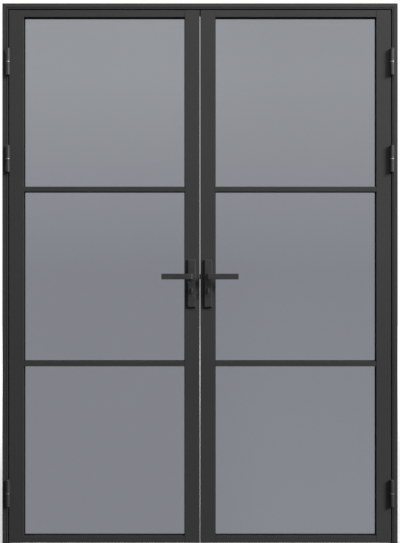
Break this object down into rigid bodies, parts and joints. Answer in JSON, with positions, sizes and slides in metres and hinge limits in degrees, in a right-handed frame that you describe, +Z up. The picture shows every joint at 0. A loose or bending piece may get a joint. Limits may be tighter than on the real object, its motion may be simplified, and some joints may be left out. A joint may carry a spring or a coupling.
{
  "type": "french doors with frame",
  "caption": "Pair of slim dark metal french doors in a three-sided frame, with grey glass panes, glazing bars, barrel hinges, long backplates and lever handles.",
  "frame": {"origin": "floor level, middle of the frame's width, middle of the leaves' thickness", "axes": "+X to the right seen from the hinge side, +Y away from the hinge side, +Z up"},
  "size_m": [1.55, 0.144, 2.125],
  "materials": {
    "frame_paint": "fine matt powder coat, dark grey",
    "leaf_paint": "fine matt powder coat, dark grey",
    "black_hardware": "satin black coat",
    "bright_steel": "brushed",
    "grey_glass": "smooth, tinted grey",
    "seal_rubber": "matt black"
  },
  "bodies": {
    "frame": {"left_jamb": "frame_paint", "right_jamb": "frame_paint", "frame_head": "frame_paint", "rebate_seals": "seal_rubber", "left_frame_barrels": "black_hardware", "left_hinge_pins": "bright_steel", "left_hinge_washers": "bright_steel", "right_frame_barrels": "black_hardware", "right_hinge_pins": "bright_steel", "right_hinge_washers": "bright_steel"},
    "left_leaf": {"left_hinge_stile": "leaf_paint", "left_meeting_stile": "leaf_paint", "left_top_rail": "leaf_paint", "left_bottom_rail": "leaf_paint", "left_upper_bar": "leaf_paint", "left_lower_bar": "leaf_paint", "left_top_pane": "grey_glass", "left_middle_pane": "grey_glass", "left_bottom_pane": "grey_glass", "left_gaskets": "seal_rubber", "left_beads": "leaf_paint", "left_leaf_barrels": "black_hardware", "left_front_plate": "black_hardware", "left_back_plate": "black_hardware", "left_plate_screws": "bright_steel", "left_meeting_seal": "seal_rubber", "left_bolt_gear": "bright_steel", "left_lock_cylinder": "black_hardware"},
    "left_lever": {"left_front_lever": "black_hardware", "left_back_lever": "black_hardware", "left_spindle": "bright_steel"},
    "left_turn": {"left_thumb_turn": "black_hardware"},
    "left_top_bolt": {"left_upper_bolt": "bright_steel"},
    "left_floor_bolt": {"left_lower_bolt": "bright_steel"},
    "right_leaf": {"right_hinge_stile": "leaf_paint", "right_meeting_stile": "leaf_paint", "right_top_rail": "leaf_paint", "right_bottom_rail": "leaf_paint", "right_upper_bar": "leaf_paint", "right_lower_bar": "leaf_paint", "right_top_pane": "grey_glass", "right_middle_pane": "grey_glass", "right_bottom_pane": "grey_glass", "right_gaskets": "seal_rubber", "right_beads": "leaf_paint", "right_leaf_barrels": "black_hardware", "right_front_plate": "black_hardware", "right_back_plate": "black_hardware", "right_plate_screws": "bright_steel", "right_meeting_seal": "seal_rubber", "right_bolt_gear": "bright_steel", "right_lock_cylinder": "black_hardware", "right_buffer": "seal_rubber"},
    "right_lever": {"right_front_lever": "black_hardware", "right_back_lever": "black_hardware", "right_spindle": "bright_steel"},
    "right_turn": {"right_thumb_turn": "black_hardware"},
    "right_top_bolt": {"right_upper_bolt": "bright_steel"},
    "right_floor_bolt": {"right_lower_bolt": "bright_steel"}
  },
  "joints": [
    {"name": "left_leaf_swing", "type": "hinge", "parent": "frame", "child": "left_leaf", "pos_m": [-0.751, -0.03, 1], "axis": [0, 0, -1], "range_deg": [0, 170]},
    {"name": "left_lever_lift", "type": "hinge", "parent": "left_leaf", "child": "left_lever", "pos_m": [-0.03225, 0, 1.054], "axis": [0, 1, 0], "range_deg": [0, 45]},
    {"name": "left_turn_rotate", "type": "hinge", "parent": "left_leaf", "child": "left_turn", "pos_m": [-0.03225, 0, 0.999], "axis": [0, 1, 0], "range_deg": [0, 90]},
    {"name": "left_top_bolt_slide", "type": "slide", "parent": "left_leaf", "child": "left_top_bolt", "axis": [0, 0, 1], "range_m": [0, 0.016]},
    {"name": "left_floor_bolt_slide", "type": "slide", "parent": "left_leaf", "child": "left_floor_bolt", "axis": [0, 0, -1], "range_m": [0, 0.016]},
    {"name": "right_leaf_swing", "type": "hinge", "parent": "frame", "child": "right_leaf", "pos_m": [0.751, -0.03, 1], "axis": [0, 0, 1], "range_deg": [0, 170]},
    {"name": "right_lever_lift", "type": "hinge", "parent": "right_leaf", "child": "right_lever", "pos_m": [0.03225, 0, 1.054], "axis": [0, -1, 0], "range_deg": [0, 45]},
    {"name": "right_turn_rotate", "type": "hinge", "parent": "right_leaf", "child": "right_turn", "pos_m": [0.03225, 0, 0.999], "axis": [0, -1, 0], "range_deg": [0, 90]},
    {"name": "right_top_bolt_slide", "type": "slide", "parent": "right_leaf", "child": "right_top_bolt", "axis": [0, 0, 1], "range_m": [0, 0.016]},
    {"name": "right_floor_bolt_slide", "type": "slide", "parent": "right_leaf", "child": "right_floor_bolt", "axis": [0, 0, -1], "range_m": [0, 0.016]}
  ],
  "couplings": [
    {"joint": "left_top_bolt_slide", "follows": "left_lever_lift", "m_per_rad": 0.0203},
    {"joint": "left_floor_bolt_slide", "follows": "left_lever_lift", "m_per_rad": 0.0203},
    {"joint": "right_top_bolt_slide", "follows": "right_lever_lift", "m_per_rad": 0.0203},
    {"joint": "right_floor_bolt_slide", "follows": "right_lever_lift", "m_per_rad": 0.0203}
  ]
}
